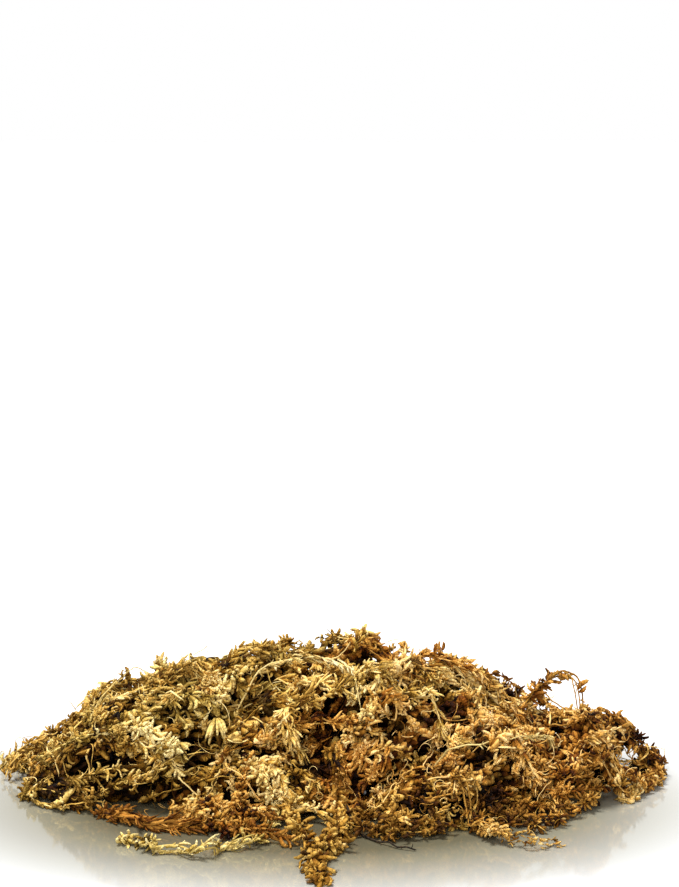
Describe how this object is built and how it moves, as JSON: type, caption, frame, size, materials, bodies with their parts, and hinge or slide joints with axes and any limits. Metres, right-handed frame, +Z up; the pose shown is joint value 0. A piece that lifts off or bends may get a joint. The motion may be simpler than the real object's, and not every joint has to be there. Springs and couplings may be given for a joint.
{
  "type": "sphagnum moss clump",
  "caption": "Loose heap of dried long-fibre sphagnum moss: matted tufts laid over each other, with strands, bare stems and a twig trailing from it, lying on a flat surface.",
  "frame": {"origin": "middle of the underside of the clump's box, on the surface that it lies on", "axes": "+X along the clump's length towards its low right end, -Y towards the side with the trailing strands, +Z up"},
  "size_m": [0.273, 0.163, 0.0596],
  "materials": {
    "straw_moss": "matt dry moss, pale straw yellow with olive shadows",
    "ochre_moss": "matt dry moss, golden ochre",
    "rust_moss": "matt dry moss, orange-brown",
    "brown_moss": "matt dry moss, deep red-brown",
    "olive_moss": "matt dry moss, dull olive tan",
    "cream_moss": "matt dry moss, bleached cream yellow",
    "bare_stem": "smooth dry stem, pale straw, slightly satin",
    "twig": "thin dark bark, matt"
  },
  "bodies": {
    "root": {"base_tuft_01": "straw_moss", "base_tuft_02": "straw_moss", "lower_tuft_01": "olive_moss", "base_tuft_03": "rust_moss", "lower_tuft_02": "straw_moss", "lower_tuft_03": "brown_moss", "base_tuft_04": "rust_moss", "lower_tuft_04": "ochre_moss", "lower_tuft_05": "straw_moss", "middle_tuft_01": "rust_moss", "lower_tuft_06": "rust_moss", "middle_tuft_02": "ochre_moss", "middle_tuft_03": "rust_moss", "middle_tuft_04": "rust_moss", "lower_tuft_07": "ochre_moss", "middle_tuft_05": "olive_moss", "lower_tuft_08": "ochre_moss", "base_tuft_05": "ochre_moss", "lower_tuft_09": "ochre_moss", "lower_tuft_10": "brown_moss", "middle_tuft_06": "ochre_moss", "middle_tuft_07": "ochre_moss", "lower_tuft_11": "rust_moss", "upper_tuft_01": "ochre_moss", "middle_tuft_08": "rust_moss", "middle_tuft_09": "ochre_moss", "lower_tuft_12": "rust_moss", "lower_tuft_13": "straw_moss", "middle_tuft_10": "olive_moss", "upper_tuft_02": "ochre_moss", "upper_tuft_03": "olive_moss", "lower_tuft_14": "ochre_moss", "lower_tuft_15": "rust_moss", "middle_tuft_11": "brown_moss", "upper_tuft_04": "ochre_moss", "lower_tuft_16": "straw_moss", "lower_tuft_17": "brown_moss", "lower_tuft_18": "ochre_moss", "lower_tuft_19": "ochre_moss", "upper_tuft_05": "olive_moss", "upper_tuft_06": "rust_moss", "lower_tuft_20": "brown_moss", "middle_tuft_12": "brown_moss", "upper_tuft_07": "straw_moss", "lower_tuft_21": "straw_moss", "arched_strand_right": "rust_moss", "looped_strand_right_end": "brown_moss", "crossing_strand_top_right": "rust_moss", "crossing_strand_top_left": "straw_moss", "crossing_strand_centre": "ochre_moss", "hooked_strand_left_tip": "ochre_moss", "hanging_strand_front": "ochre_moss", "trailing_strand_front_left": "rust_moss", "pale_strand_front_left": "cream_moss", "trailing_tuft_front_right": "brown_moss", "bare_stem_left": "bare_stem", "bare_stem_centre": "bare_stem", "bare_stem_right": "bare_stem", "dark_twig_front": "twig"}
  },
  "joints": []
}
